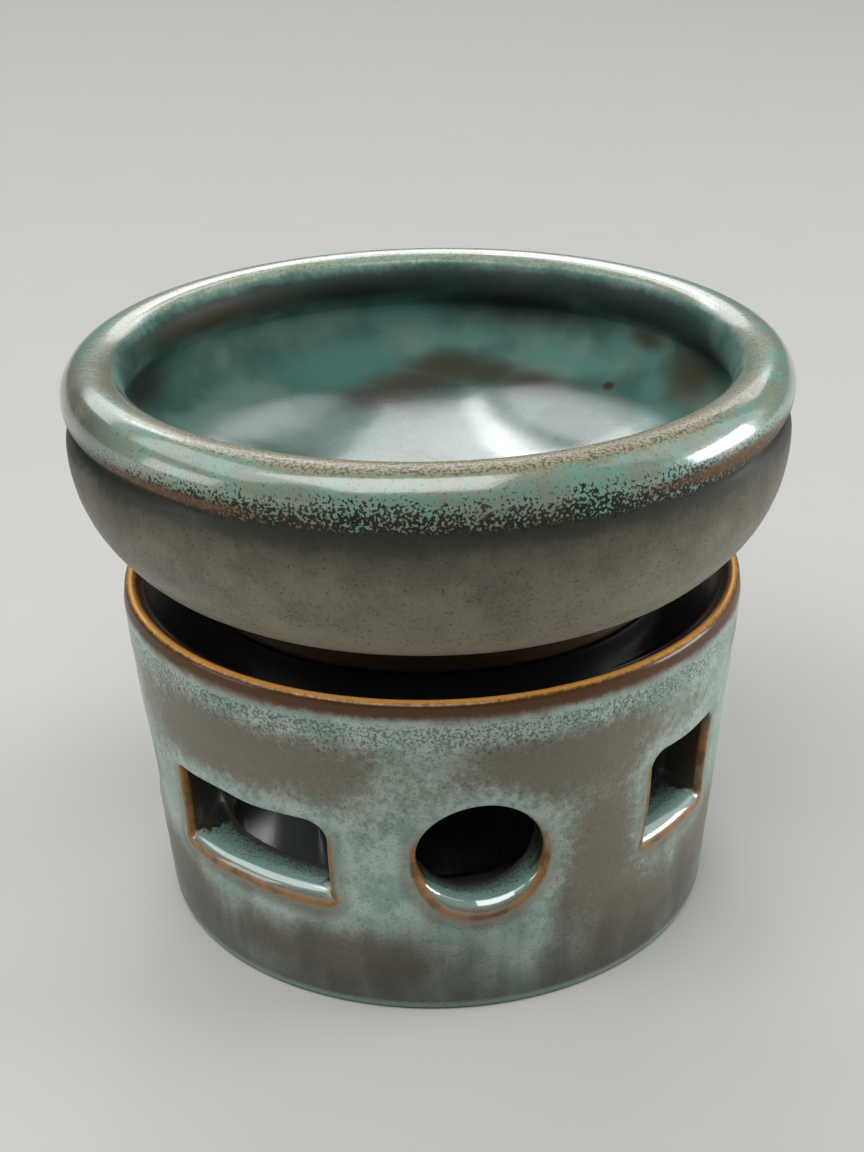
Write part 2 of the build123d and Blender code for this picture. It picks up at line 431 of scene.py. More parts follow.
def through_tree(piece, tree, values):
    """Runs a piece's mesh through a Geometry Nodes tree with these inputs and keeps the plain result."""
    modifier = piece.modifiers.new(tree.name, "NODES")
    modifier.node_group = tree
    for item in tree.interface.items_tree:
        if item.item_type == "SOCKET" and item.in_out == "INPUT" and item.name in values:
            modifier[item.identifier] = values[item.name]
    graph = bpy.context.evaluated_depsgraph_get()
    mesh = bpy.data.meshes.new_from_object(piece.evaluated_get(graph))
    piece.modifiers.remove(modifier)
    piece.data = mesh
    mesh.shade_smooth()


def paint(red, green, blue):
    """A colour from its screen values, 0 to 255."""
    linear = []
    for value in (red / 255, green / 255, blue / 255):
        linear.append(value / 12.92 if value < 0.0405 else ((value + 0.055) / 1.055) ** 2.4)
    return (*linear, 1.0)


def fade(value, low, high):
    """A smooth rise from 0 at low to 1 at high."""
    return value.node("ShaderNodeMapRange", {"interpolation_type": "SMOOTHSTEP"}, {
        "Value": value, "From Min": low, "From Max": high})


def blend(share, first, second):
    """One colour at share 0, the other at share 1."""
    return share.node("ShaderNodeMix", {"data_type": "RGBA"}, {0: share, 6: first, 7: second}, 2)


def cloud(where, size, detail=2.0, roughness=0.5):
    """Soft noise with patches of about that size, in metres, around 0.5."""
    return where.node("ShaderNodeTexNoise", {}, {
        "Vector": where, "Scale": 1 / size, "Detail": detail, "Roughness": roughness})


def stretched(where, across, up):
    """Coordinates that draw a pattern out, such as glaze that ran down while it was molten."""
    return where.node("ShaderNodeMapping", {}, {"Vector": where, "Scale": (across, across, up)})


def material_start(name):
    """A new material's tree, emptied, and its output."""
    material = bpy.data.materials.new(name)
    material.use_nodes = True
    material.node_tree.nodes.clear()
    output = material.node_tree.nodes.new("ShaderNodeOutputMaterial")
    return material, Wire(material.node_tree), output


def attribute(start, name):
    """A value that the mesh carries at its points."""
    return start.node("ShaderNodeAttribute", {"attribute_name": name}, {}, 2)


def finish_material(start, output, sockets):
    """Puts a Principled surface with these sockets on the material."""
    surface = start.node("ShaderNodeBsdfPrincipled", {}, sockets)
    start.tree.links.new(surface.socket, output.inputs["Surface"])


def finish_glaze(start, output, dullness, sockets):
    """Puts a glossy glaze with these sockets on the material, mixed with a dull one of the same colour."""
    shiny = start.node("ShaderNodeBsdfPrincipled", {}, sockets)
    dull = start.node("ShaderNodeBsdfPrincipled", {}, {
        "Base Color": sockets["Base Color"], "Roughness": 0.5, "Specular IOR Level": 0.12})
    glaze = start.node("ShaderNodeMixShader", {}, {0: dullness, 1: shiny, 2: dull})
    start.tree.links.new(glaze.socket, output.inputs["Surface"])


def smudges(where, places, ragged, edge=(0.45, 1.25)):
    """Soft patches of glaze or painted shade, each by its azimuth in degrees, radius, height and half sizes
    in mm.
    """
    share = None
    for azimuth, radius, height, half_width, half_height in places:
        turn = math.radians(azimuth)
        middle = (radius * math.sin(turn) / 1000, -radius * math.cos(turn) / 1000, height / 1000)
        scale = (1000 / half_width, 1000 / half_width, 1000 / half_height)
        away = where.node("ShaderNodeVectorMath", {"operation": "SUBTRACT"}, {0: where, 1: middle})
        away = where.node("ShaderNodeVectorMath", {"operation": "MULTIPLY"}, {0: away, 1: scale})
        away = where.node("ShaderNodeVectorMath", {"operation": "LENGTH"}, {0: away}, 1)
        patch = 1 - fade(away + ragged, *edge)
        share = patch if share is None else share.maths("MAXIMUM", share, patch)
    return share


celadon = paint(154, 172, 161)
sea_green = paint(124, 149, 138)
grey_brown = paint(98, 89, 73)
low_shade_olive = paint(52, 50, 42)
iron_speck = paint(36, 38, 30)
halo_brown = paint(92, 80, 66)
amber_and_highlight = paint(214, 156, 78)
rim_brown = paint(70, 42, 12)
cut_amber = paint(138, 98, 52)
tunnel_teal = paint(118, 148, 138)
tunnel_shade = paint(46, 54, 48)
chamber_lifted_grey = paint(120, 128, 128)
ledge_black = paint(10, 12, 12)
thin_amber = paint(92, 70, 44)
tunnel_brown = paint(66, 48, 30)
clay_buff = paint(150, 120, 92)
brown_places = [
    (-46, 45, 40, 28, 10), (14, 45, 40, 22, 9), (26, 43, 20, 10, 17), (-30, 42, 8, 18, 5),
    (34, 42, 9, 14, 8), (58, 43, 14, 12, 9), (78, 46, 44, 13, 5), (104, 43, 14, 10, 12),
    (140, 46, 44, 16, 5), (160, 42, 12, 14, 7), (200, 45, 40, 13, 7), (235, 43, 13, 10, 13),
    (264, 46, 43, 13, 6), (290, 42, 10, 12, 6),
]

stand_glaze, start, output = material_start("stand_glaze")
spot = start.node("ShaderNodeTexCoord", {}, {}, 3)
inward = attribute(start, "inward")
rim_reach = attribute(start, "rim_reach") * 1000
cut_reach = attribute(start, "cut_reach") * 1000
lowness = attribute(start, "cut_lowness")
height = start.node("ShaderNodeSeparateXYZ", {}, {0: spot}, 2) * 1000
fine = cloud(spot, 0.0012, 2.0, 0.6)
grain = cloud(spot, 0.0004, 2.0, 0.6)
drift = cloud(spot, 0.011, 3.0)
streak = cloud(stretched(spot, 1.0, 0.22), 0.0045, 2.0)
feather = (fine - 0.5) * 1.4 + (streak - 0.5) * 2.2
from_edges = cut_reach.maths("MINIMUM", cut_reach, rim_reach - 4.0) + feather

brown_share = smudges(spot, brown_places, (drift - 0.5) * 1.0 + (streak - 0.5) * 0.6, (0.0, 1.7))
brown_share = brown_share * fade(from_edges, -1.0, 5.0)
brown_share = fade(brown_share + (grain - 0.5) * 0.5 + (fine - 0.5) * 0.6, -0.05, 0.85)
body = blend(fade(cloud(spot, 0.006) + (fine - 0.5) * 0.6, 0.34, 0.66), celadon, sea_green)
body = blend(brown_share * 0.95, body, grey_brown)
# Painted shade: the lowest 20 mm of the wall is darkened towards dim olive
low_wall_shade = 1 - fade(height + (drift - 0.5) * 14 + (streak - 0.5) * 18 + (fine - 0.5) * 8, 0.0, 20.0)
body = blend(low_wall_shade * 0.9, body, low_shade_olive)
foot_line = (1 - fade(height, 0.8, 1.8)) * fade(height, 0.1, 0.5)
body = blend(foot_line * 0.6, body, sea_green)
speck_band = fade(rim_reach, 3.0, 4.0) * (1 - fade(rim_reach + feather * 1.8, 4.5, 10.0))
specks = fade(grain + speck_band * 0.10 - brown_share * 0.02, 0.58, 0.65)
body = blend(specks * (0.35 + speck_band * 0.30), body, iron_speck)
halo = (1 - fade(cut_reach + feather * 0.8, 0.6, 3.2)) * (0.05 + lowness * 0.80)
halo = halo.maths("MAXIMUM", halo, 1 - fade(rim_reach + feather * 0.6, 2.2, 3.8))
body = blend(halo, body, halo_brown)
sparkle = (fine - 0.5) * 0.7 + (grain - 0.5) * 0.7
# The crest is amber glaze where it runs thin, painted brighter as a golden highlight along its top
crest_tone = blend(fade(rim_reach + sparkle * 0.7, 0.30, 0.95), amber_and_highlight, rim_brown)
rim_band = 1 - fade(rim_reach + sparkle, 2.0, 2.9)
golden_highlight = 1 - fade(rim_reach + sparkle * 0.7, 0.30, 0.95)
amber_ease = fade(lowness + (cloud(spot, 0.004) - 0.5) * 0.6, 0.10, 0.60)
cut_edge = (1 - fade(cut_reach - inward * 11 + sparkle * 0.7, 0.10, 0.65)) * amber_ease
edge_tone = blend(fade(cloud(spot, 0.003, 3.0, 0.6), 0.34, 0.58), thin_amber, cut_amber)
body = blend(cut_edge, body, edge_tone)
body = blend(rim_band, body, crest_tone)
side = fade(lowness, 0.20, 0.40) * (1 - fade(lowness, 0.62, 0.80))
in_tunnel = fade(inward - side * 0.07, 0.045, 0.075) * (1 - fade(height, 44.0, 48.0))
sill = fade(lowness, 0.55, 0.85)
# Painted shade: the tunnel is teal on its sill and darker on its sides and top
tunnel = blend(sill, tunnel_shade, tunnel_teal)
tunnel = blend(side * (1 - fade(inward, 0.2, 0.5)) * 0.7, tunnel, tunnel_brown)
tunnel = blend(sill * fade(inward + (fine - 0.5) * 0.2, 0.50, 0.78) * 0.8, tunnel, halo_brown)
sill_specks = fade(grain + fade(inward, 0.2, 0.6) * 0.06, 0.56, 0.62) * fade(inward, 0.09, 0.16)
tunnel = blend(sill_specks * 0.9, tunnel, iron_speck)
body = blend(in_tunnel, body, tunnel)
sill_line = fade(inward, 0.70, 0.78) * (1 - fade(inward, 0.84, 0.88))
body = blend(sill_line * 0.8, body, halo_brown)
# Painted light: the chamber's black glaze is given a mid grey, lighter than the same glaze on the ledge
in_chamber = fade(inward, 0.84, 0.94)
body = blend(in_chamber, body, blend(fade(height, 44.0, 48.0), chamber_lifted_grey, ledge_black))
bare_clay = (1 - fade(height, 0.02, 0.10)) * (1 - in_chamber)
body = blend(bare_clay, body, clay_buff)
soft_edge = (1 - fade(cut_reach - fade(inward, 0.0, 0.02) * 1.7, 0.8, 1.8)) * fade(lowness, 0.45, 0.75)
glossy = soft_edge.maths("MAXIMUM", soft_edge, 1 - fade(rim_reach, 2.0, 4.0))
relief = (grain * 0.35 + fine * 0.45 + cloud(spot, 0.005) * 1.2 + specks * 0.2) * (1 - in_chamber * 0.8)
bump = start.node("ShaderNodeBump", {}, {"Strength": 0.10, "Distance": 0.0005, "Height": relief})
dark_rim = rim_band * (1 - golden_highlight)
dullness = dark_rim.maths("MAXIMUM", dark_rim * 0.75, halo * 0.6)
dullness = dullness.maths("MAXIMUM", dullness, cut_edge * 0.85) * (1 - in_tunnel) * (1 - in_chamber)
finish_glaze(start, output, dullness, {
    "Base Color": body, "Metallic": golden_highlight * 0.6,
    "Roughness": 0.32 + brown_share * 0.06 - glossy * 0.14 - in_chamber * 0.18 + bare_clay * 0.5,
    "IOR": 1.5, "Coat Weight": glossy * (1 - golden_highlight) * (1 - rim_band * 0.7) * (1 - in_chamber),
    "Coat Roughness": 0.07, "Coat IOR": 2.2, "Normal": bump})

through_tree(stand_piece, thrown, {
    "Ring Depth": 0.00016, "Ring Spacing": 0.0035, "Sway": 0.0004, "Seed": 3.0, "Glaze": stand_glaze})
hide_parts("stand")
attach(stand_piece, "stand")

# Wick sustainer: a disc with a short collar, pressed from thin steel, that holds the wick upright. It
# lies on the cup's floor and the wax is poured round it.

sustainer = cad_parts["wick_sustainer"]
sustainer_steel, start, output = material_start("sustainer_steel")
spot = start.node("ShaderNodeTexCoord", {}, {}, 3)
scratches = cloud(stretched(spot, 1.0, 6.0), 0.0008, 3.0, 0.6)
finish_material(start, output, {
    "Base Color": blend(fade(scratches, 0.3, 0.7), paint(170, 172, 174), paint(198, 199, 200)),
    "Metallic": 1.0, "Roughness": 0.28 + scratches * 0.2})
for holder in sustainer.material_slots:
    holder.material = sustainer_steel

# Wick: three strands of cotton twisted together and stiffened with wax. It stands in the sustainer's
# collar, and the wax holds it.

wick_low, wick_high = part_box("tealight_wick")
wick_radius = wick_high.x
strand_radius = 0.48 * wick_radius
twisted = bpy.data.node_groups.new("twisted wick", "GeometryNodeTree")
twisted.interface.new_socket("Geometry", in_out="INPUT", socket_type="NodeSocketGeometry")
for label in ("Bottom", "Top", "Strand Radius", "Lay Radius", "Turns"):
    twisted.interface.new_socket(label, in_out="INPUT", socket_type="NodeSocketFloat")
twisted.interface.new_socket("Strands", in_out="INPUT", socket_type="NodeSocketInt")
twisted.interface.new_socket("Cotton", in_out="INPUT", socket_type="NodeSocketMaterial")
twisted.interface.new_socket("Geometry", in_out="OUTPUT", socket_type="NodeSocketGeometry")
yarn = Wire(twisted)
given = {socket.name: Wire(twisted, socket) for socket in twisted.nodes.new("NodeGroupInput").outputs}
foot = yarn.node("ShaderNodeCombineXYZ", {}, {"Z": given["Bottom"]})
tip = yarn.node("ShaderNodeCombineXYZ", {}, {"Z": given["Top"]})
line = yarn.node("GeometryNodeCurvePrimitiveLine", {}, {"Start": foot, "End": tip})
line = yarn.node("GeometryNodeResampleCurve", {}, {"Curve": line, "Count": 72})
copies = twisted.nodes.new("GeometryNodeDuplicateElements")
copies.domain = "SPLINE"
twisted.links.new(line.socket, copies.inputs["Geometry"])
twisted.links.new(given["Strands"].socket, copies.inputs["Amount"])
along_line = yarn.node("GeometryNodeSplineParameter", {}, {}, "Factor")
which = Wire(twisted, copies.outputs["Duplicate Index"])
turn = (along_line * given["Turns"] + which / given["Strands"]) * (2 * math.pi)
sideways = yarn.node("ShaderNodeCombineXYZ", {}, {
    "X": turn.maths("COSINE", turn) * given["Lay Radius"],
    "Y": turn.maths("SINE", turn) * given["Lay Radius"]})
laid = yarn.node("GeometryNodeSetPosition", {}, {"Geometry": Wire(twisted, copies.outputs["Geometry"]),
                                                 "Offset": sideways})
section = yarn.node("GeometryNodeCurvePrimitiveCircle", {}, {
    "Resolution": 12, "Radius": given["Strand Radius"]})
strands = yarn.node("GeometryNodeCurveToMesh", {}, {
    "Curve": laid, "Profile Curve": section, "Fill Caps": True})
strands = yarn.node("GeometryNodeRealizeInstances", {}, {"Geometry": strands})
strands = yarn.node("GeometryNodeSetMaterial", {}, {"Geometry": strands, "Material": given["Cotton"]})
twisted.links.new(strands.socket, twisted.nodes.new("NodeGroupOutput").inputs["Geometry"])

wick_cotton, start, output = material_start("wick_cotton")
spot = start.node("ShaderNodeTexCoord", {}, {}, 3)
fibre = cloud(stretched(spot, 1.0, 0.2), 0.0002, 2.0)
bump = start.node("ShaderNodeBump", {}, {"Strength": 0.4, "Distance": 0.0001, "Height": fibre})
finish_material(start, output, {
    "Base Color": blend(fade(fibre, 0.3, 0.7), paint(206, 198, 178), paint(232, 227, 212)),
    "Roughness": 0.6 + fibre * 0.2, "Normal": bump})
wick_piece = placed("twisted_wick", bpy.data.meshes.new("wick"))
through_tree(wick_piece, twisted, {
    "Bottom": wick_low.z, "Top": wick_high.z, "Strand Radius": strand_radius,
    "Lay Radius": wick_radius - strand_radius, "Turns": 5.0, "Strands": 3, "Cotton": wick_cotton})
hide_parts("tealight_wick")
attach(wick_piece, "tealight")

# Wax: a poured fill of white wax with a soft edge, drawn up a little where it meets the wick. It fills the
# cup round the sustainer.


def turned_mesh(name, outline, steps, attributes):
    """A mesh that is an outline in radius and height, turned about Z, with attributes along the outline."""
    outline = np.asarray(outline)
    angles = np.linspace(0, 2 * math.pi, steps, endpoint=False)
    radius = outline[:, :1]
    points = np.stack((radius * np.cos(angles), radius * np.sin(angles),
                       np.repeat(outline[:, 1:], steps, axis=1)), axis=2).reshape(-1, 3)
    faces = []
    for ring in range(len(outline) - 1):
        for step in range(steps):
            after = (step + 1) % steps
            faces.append((ring * steps + step, ring * steps + after,
                          (ring + 1) * steps + after, (ring + 1) * steps + step))
    spread = {label: np.repeat(values, steps) for label, values in attributes.items()}
    return finished_mesh(name, points, faces, spread)


wax_low, wax_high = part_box("tealight_wax")
wax_radius = wax_high.x
wax_edge = 0.0008
wax_corner = 0.0015
wax_dip = 0.0005
wax_hole = wick_radius + 0.00005
wax_outline = run((wax_hole, wax_low.z + 0.0008), (wax_radius - wax_corner, wax_low.z), 6)
wax_outline += arc((wax_radius - wax_corner, wax_low.z + wax_corner), wax_corner, -90, 0, 6)[1:]
wax_outline += run((wax_radius, wax_low.z + wax_corner), (wax_radius, wax_high.z - wax_edge), 6)[1:]
wax_outline += arc((wax_radius - wax_edge, wax_high.z - wax_edge), wax_edge, 0, 90, 6)[1:]
for share in np.linspace(0, 1, 25)[1:]:
    sag = wax_dip * math.sin(math.pi * share) ** 0.6
    from_axis = wax_radius - wax_edge + (wax_hole - wax_radius + wax_edge) * share
    wax_outline.append((from_axis, wax_high.z - sag))
wax_outline.append(wax_outline[0])
wax_piece = placed("poured_wax", turned_mesh("wax", wax_outline, 96, {}))
candle_wax, start, output = material_start("candle_wax")
spot = start.node("ShaderNodeTexCoord", {}, {}, 3)
mottle = cloud(spot, 0.003, 3.0)
bump = start.node("ShaderNodeBump", {}, {"Strength": 0.15, "Distance": 0.0005, "Height": mottle})
finish_material(start, output, {
    "Base Color": blend(fade(mottle, 0.3, 0.7), paint(226, 223, 212), paint(240, 238, 230)),
    "Roughness": 0.35 + mottle * 0.2, "Subsurface Weight": 0.3, "Subsurface Scale": 0.002,
    "Normal": bump})
wax_piece.data.materials.append(candle_wax)
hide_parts("tealight_wax")
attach(wax_piece, "tealight")

# Cup: thin aluminium pressed into a cup, with a rolled top edge and fine upright creases that the press
# leaves in its wall. It holds the candle and stands loose on the stand's floor.

cup_low, cup_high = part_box("tealight_cup")
bead = 0.0006
cup_radius = cup_high.x - bead
cup_wall = 0.0004
cup_corner = 0.0015
bead_middle_height = cup_high.z - bead
cup_outline = run((0.0, cup_low.z), (cup_radius - cup_corner, cup_low.z), 8)
cup_outline += arc((cup_radius - cup_corner, cup_low.z + cup_corner), cup_corner, -90, 0, 6)[1:]
cup_outline += run((cup_radius, cup_low.z + cup_corner), (cup_radius, bead_middle_height - bead), 10)[1:]
cup_outline += arc((cup_radius, bead_middle_height), bead, -90, 215, 16)[1:]
cup_inner = cup_radius - cup_wall
cup_outline += run((cup_inner, bead_middle_height - bead), (cup_inner, cup_low.z + cup_corner), 8)
inner_corner = cup_corner - cup_wall
cup_outline += arc((cup_inner - inner_corner, cup_low.z + cup_corner), inner_corner, 0, -90, 5)[1:]
cup_outline += run((cup_inner - inner_corner, cup_low.z + cup_wall), (0.0, cup_low.z + cup_wall), 6)[1:]
cup_piece = placed("pressed_cup", turned_mesh("cup", cup_outline, 192, {}))
crease_count = 48
crease_depth = 0.00006
crease_top = 0.85
for vertex in cup_piece.data.vertices:
    reach = math.hypot(vertex.co.x, vertex.co.y)
    level = (vertex.co.z - cup_low.z) / (cup_high.z - cup_low.z)
    if reach > cup_radius - cup_corner and 0 < level < crease_top:
        angle = math.atan2(vertex.co.y, vertex.co.x)
        pull = crease_depth * math.sin(math.pi * level / crease_top)
        pull = pull * (1 + math.cos(crease_count * angle)) / 2
        vertex.co.x *= 1 - pull / reach
        vertex.co.y *= 1 - pull / reach
cup_aluminium, start, output = material_start("cup_aluminium")
spot = start.node("ShaderNodeTexCoord", {}, {}, 3)
drawn = cloud(stretched(spot, 1.0, 0.1), 0.0006, 3.0, 0.6)
# Painted shade: the aluminium is given dark greys, for the dark inside the stand
finish_material(start, output, {
    "Base Color": blend(fade(drawn, 0.3, 0.7), paint(84, 85, 87), paint(108, 109, 111)),
    "Metallic": 1.0, "Roughness": 0.16 + drawn * 0.14})
cup_piece.data.materials.append(cup_aluminium)
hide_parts("tealight_cup")
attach(cup_piece, "tealight")

# Bowl: a thick shallow bowl thrown in one piece, with a fat rolled lip, a round belly and a foot ring that
# was turned when the clay was leather hard. It is glazed inside and out, and it only rests on the ledge.


def through(points, steps):
    """Points of a smooth curve through these, in radius and height, with that many steps between two."""
    points = np.asarray(points)
    padded = np.concatenate((2 * points[:1] - points[1:2], points, 2 * points[-1:] - points[-2:-1]))
    curve = []
    for before, start, end, after in zip(padded, padded[1:], padded[2:], padded[3:]):
        for t in np.arange(steps) / steps:
            curve.append(tuple(0.5 * (2 * start + (end - before) * t
                                      + (2 * before - 5 * start + 4 * end - after) * t ** 2
                                      + (3 * start - before - 3 * end + after) * t ** 3)))
    return curve + [tuple(points[-1])]


bowl_low, bowl_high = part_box("bowl")
foot_bottom = bowl_low.z
lip_top = bowl_high.z
lip_roll = 0.0045
lip_radius = bowl_high.x - lip_roll
lip_middle = lip_top - lip_roll
belly_radius = bowl_high.x - 0.0002
belly_curve = 0.0200
belly_middle = 0.0738
belly_bottom = belly_middle - belly_curve
bowl_wall = 0.0072
bowl_floor = 0.0052
bowl_corner = 0.0090
bowl_side = belly_middle + 0.0027
foot_radius = 0.0350
foot_inner = 0.0318
foot_edge = 0.0006
lip_edge_angle = 35
lip_undercut = 0.0005
curve_middle = belly_radius - belly_curve
outline = run((0.0, belly_bottom), (foot_inner - foot_edge, belly_bottom), 10)
outline += arc((foot_inner - foot_edge, belly_bottom - foot_edge), foot_edge, 90, 0, 4)[1:]
outline += run((foot_inner, belly_bottom - foot_edge), (foot_inner, foot_bottom + foot_edge), 3)[1:]
outline += arc((foot_inner + foot_edge, foot_bottom + foot_edge), foot_edge, 180, 270, 4)[1:]
outline += run((foot_inner + foot_edge, foot_bottom), (foot_radius - foot_edge, foot_bottom), 2)[1:]
outline += arc((foot_radius - foot_edge, foot_bottom + foot_edge), foot_edge, 270, 360, 4)[1:]
foot_top = belly_middle - math.sqrt(belly_curve ** 2 - (foot_radius - curve_middle) ** 2)
outline += run((foot_radius, foot_bottom + foot_edge), (foot_radius, foot_top - 0.0004), 5)[1:]
belly_start = math.degrees(math.asin((foot_radius + 0.0004 - curve_middle) / belly_curve)) - 90
outline += arc((curve_middle, belly_middle), belly_curve, belly_start, 0, 44)
lip_edge_radius = lip_radius + lip_roll * math.cos(math.radians(lip_edge_angle))
lip_edge_height = lip_middle - lip_roll * math.sin(math.radians(lip_edge_angle))
outline += through([
    (belly_radius, belly_middle), (belly_radius - 0.00012, belly_middle + 0.0014),
    (belly_radius - 0.00055, belly_middle + 0.0028),
    (lip_edge_radius - lip_undercut, lip_edge_height - 0.0007),
    (lip_edge_radius - lip_undercut, lip_edge_height - 0.0002), (lip_edge_radius, lip_edge_height)], 5)[1:]
outline += arc((lip_radius, lip_middle), lip_roll, -lip_edge_angle, 180 + 25, 46)[1:]
inner_radius = belly_radius - bowl_wall
corner_radius = inner_radius - bowl_corner
depth = bowl_side - belly_bottom - bowl_floor
dish_curve = (corner_radius ** 2 + depth ** 2 - bowl_corner ** 2) / (2 * (depth - bowl_corner))
dish_angle = math.degrees(math.asin(corner_radius / (dish_curve - bowl_corner)))
corner = arc((corner_radius, bowl_side), bowl_corner, -4, dish_angle - 90, 30)
outline += through([outline[-1], (inner_radius - 0.00057, bowl_side + 0.0011),
                    (inner_radius - 0.0001, bowl_side + 0.0002), corner[0]], 5)[1:]
outline += corner[1:]
outline += arc((0.0, belly_bottom + bowl_floor + dish_curve), dish_curve, dish_angle - 90, -90, 34)[1:]
outline = np.array(outline)
walk = np.concatenate(([0], np.cumsum(np.hypot(*np.diff(outline, axis=0).T))))
walk -= walk[np.argmax(outline[:, 1])]
thrown_free = np.clip((outline[:, 0] - foot_radius) / 0.004, 0, 1)
thrown_free = thrown_free * np.clip((lip_top - outline[:, 1]) / 0.002, 0, 1)
thrown_free = np.where((walk > 0) & (outline[:, 0] < foot_radius), 0.6, thrown_free)
bowl_mesh = turned_mesh("bowl", outline, 288, {"walk": walk, "thrown": thrown_free})
bowl_piece = placed("glazed_bowl", bowl_mesh)

# The glaze ran down the front and fills the crease under the lip there
fill_angle = math.radians(8)
fill_reach = 56
fill_ease = 24
fill_low = belly_middle
fill_high = lip_middle - lip_roll * math.sin(fill_angle)
high_radius = lip_radius + lip_roll * math.cos(fill_angle)
for vertex in bowl_mesh.vertices:
    reach = math.hypot(vertex.co.x, vertex.co.y)
    if fill_low < vertex.co.z < fill_high and reach > lip_radius:
        level = (vertex.co.z - fill_low) / (fill_high - fill_low)
        from_front = abs(math.degrees(math.atan2(vertex.co.x, -vertex.co.y)))
        share = 0.5 - 0.5 * math.cos(math.pi * np.clip((fill_reach - from_front) / fill_ease, 0, 1))
        swell = max(0, belly_radius + (high_radius - belly_radius) * level - reach) * share
        vertex.co.x *= 1 + swell / reach
        vertex.co.y *= 1 + swell / reach

lip_turquoise = paint(104, 140, 126)
lip_sage = paint(112, 126, 110)
lip_back_sheen = paint(150, 176, 160)
bowl_teal = paint(54, 88, 80)
bowl_blue = paint(74, 115, 108)
lip_overhang_shade = paint(36, 44, 38)
olive = paint(62, 58, 42)
tan = paint(134, 124, 94)
rust = paint(92, 66, 42)
pool_green = paint(24, 32, 26)
belly_brown = paint(116, 111, 96)
belly_dark_and_shade = paint(68, 64, 53)
belly_floor_light = paint(160, 153, 134)
foot_brown = paint(56, 38, 20)
speck_green = paint(26, 30, 22)
speck_brown = paint(46, 38, 22)
crest_speck = paint(66, 58, 40)
iron_spot = paint(58, 44, 30)
olive_places = [
    (-136, 42.9, 80.2, 15, 2.4), (167, 38.5, 67.9, 9, 1.8), (145, 36.6, 67, 9, 1.6),
    (-174, 32, 65.2, 8, 1.5), (176, 35, 66.4, 8, 1.6), (158, 37.5, 67.4, 8, 1.6),
    (121, 44.4, 75.4, 5, 1.8), (105, 43.5, 72.4, 7, 4.5), (-20, 41, 70, 16, 5), (40, 43, 78, 14, 4),
]
lip_shade_places = [
    (-172, 42.9, 80.2, 14, 2.4), (152, 43.6, 77.6, 15, 4.2), (120, 43, 80, 14, 3.2),
    (100, 43.6, 77, 11, 5), (-112, 44.3, 75, 8, 4), (-70, 43, 77, 20, 5), (60, 43, 77, 16, 5),
]
blue_places = [
    (-168, 40, 69, 13, 4), (177, 44.2, 75.6, 9, 3), (165, 43, 71.6, 8, 1.6), (143, 42, 70.3, 7, 1.7),
    (134, 41.4, 69.7, 6, 1.6), (127, 43.9, 73.2, 3.6, 2.2), (119, 43.9, 73.2, 3.6, 2.0),
    (112, 41.4, 69.8, 4, 2.6), (105, 38, 67.7, 5, 2.2), (0, 10, 59.5, 24, 5), (60, 40, 69, 12, 6),
    (-40, 36, 67, 14, 5),
]
iron_places = [(125, 38.9, 68.1, 1.2, 0.9)]
lip_left_shade_places = [(-80, 50.6, 82.0, 20, 4.0)]
rust_places = [
    (-50, 51.5, 79.0, 18, 1.1), (46, 51.7, 79.8, 20, 1.2), (106, 51.7, 79.6, 18, 0.9),
    (158, 51.6, 79.4, 15, 0.9), (214, 51.7, 79.8, 18, 0.9), (262, 51.6, 79.4, 16, 0.9),
]

bowl_glaze, start, output = material_start("bowl_glaze")
spot = start.node("ShaderNodeTexCoord", {}, {}, 3)
walk = attribute(start, "walk") * 1000
drift = cloud(spot, 0.014, 3.0)
patch = cloud(spot, 0.006, 3.0, 0.6)
fine = cloud(spot, 0.0011, 2.0, 0.6)
grain = cloud(spot, 0.0004, 2.0, 0.6)
spots = cloud(spot, 0.00040, 1.0)
wander = (drift - 0.5) * 0.9 + (patch - 0.5) * 0.5
ragged = walk + (fine - 0.5) * 1.6 + (patch - 0.5) * 2.0
backward = start.node("ShaderNodeSeparateXYZ", {}, {0: spot}, 1)
front = 1 - fade(backward, -0.045, -0.010)
glaze_line = walk - front * 1.3
lip = blend(fade(patch + (fine - 0.5) * 0.4, 0.36, 0.64), lip_turquoise, lip_sage)
# Painted sheen: the back of the lip is paler
lip = blend(fade(backward, 0.005, 0.035) * 0.7, lip, lip_back_sheen)
# Painted shade: the left end of the lip is darkened towards olive
lip = blend(smudges(spot, lip_left_shade_places, wander * 0.6) * 0.75, lip, olive)
lip_clouds = fade(cloud(spot, 0.009, 3.0, 0.6), 0.52, 0.66) * fade(grain, 0.36, 0.58)
lip = blend(lip_clouds * 0.6, lip, tan)
crest = fade(ragged + front * 2.4, -0.6, 0.8) * (1 - fade(ragged, 2.8, 4.0))
lip = blend(crest * (0.30 + front * 0.55), lip, tan)
crest_dots = crest * fade(spots + front * 0.06, 0.54, 0.62)
lip = blend(crest_dots * (0.25 + front * 0.6), lip, crest_speck)
belly_run = cloud(spot, 0.006, 3.0, 0.6)
belly_mottle = fade(belly_run + (fine - 0.5) * 0.5 + (grain - 0.5) * 0.4, 0.25, 0.95)
belly = blend(belly_mottle * 0.5, belly_brown, belly_dark_and_shade)
# Painted light: the lower belly is paler, for the light thrown up from the floor
belly = blend((1 - fade(ragged, -36.0, -22.0)) * 0.8, belly, belly_floor_light)
belly = blend(fade(grain + (drift - 0.5) * 0.15, 0.57, 0.66) * 0.35, belly, sea_green)
belly = blend(fade(spots + (belly_run - 0.5) * 0.2, 0.60, 0.68) * 0.45, belly, belly_dark_and_shade)
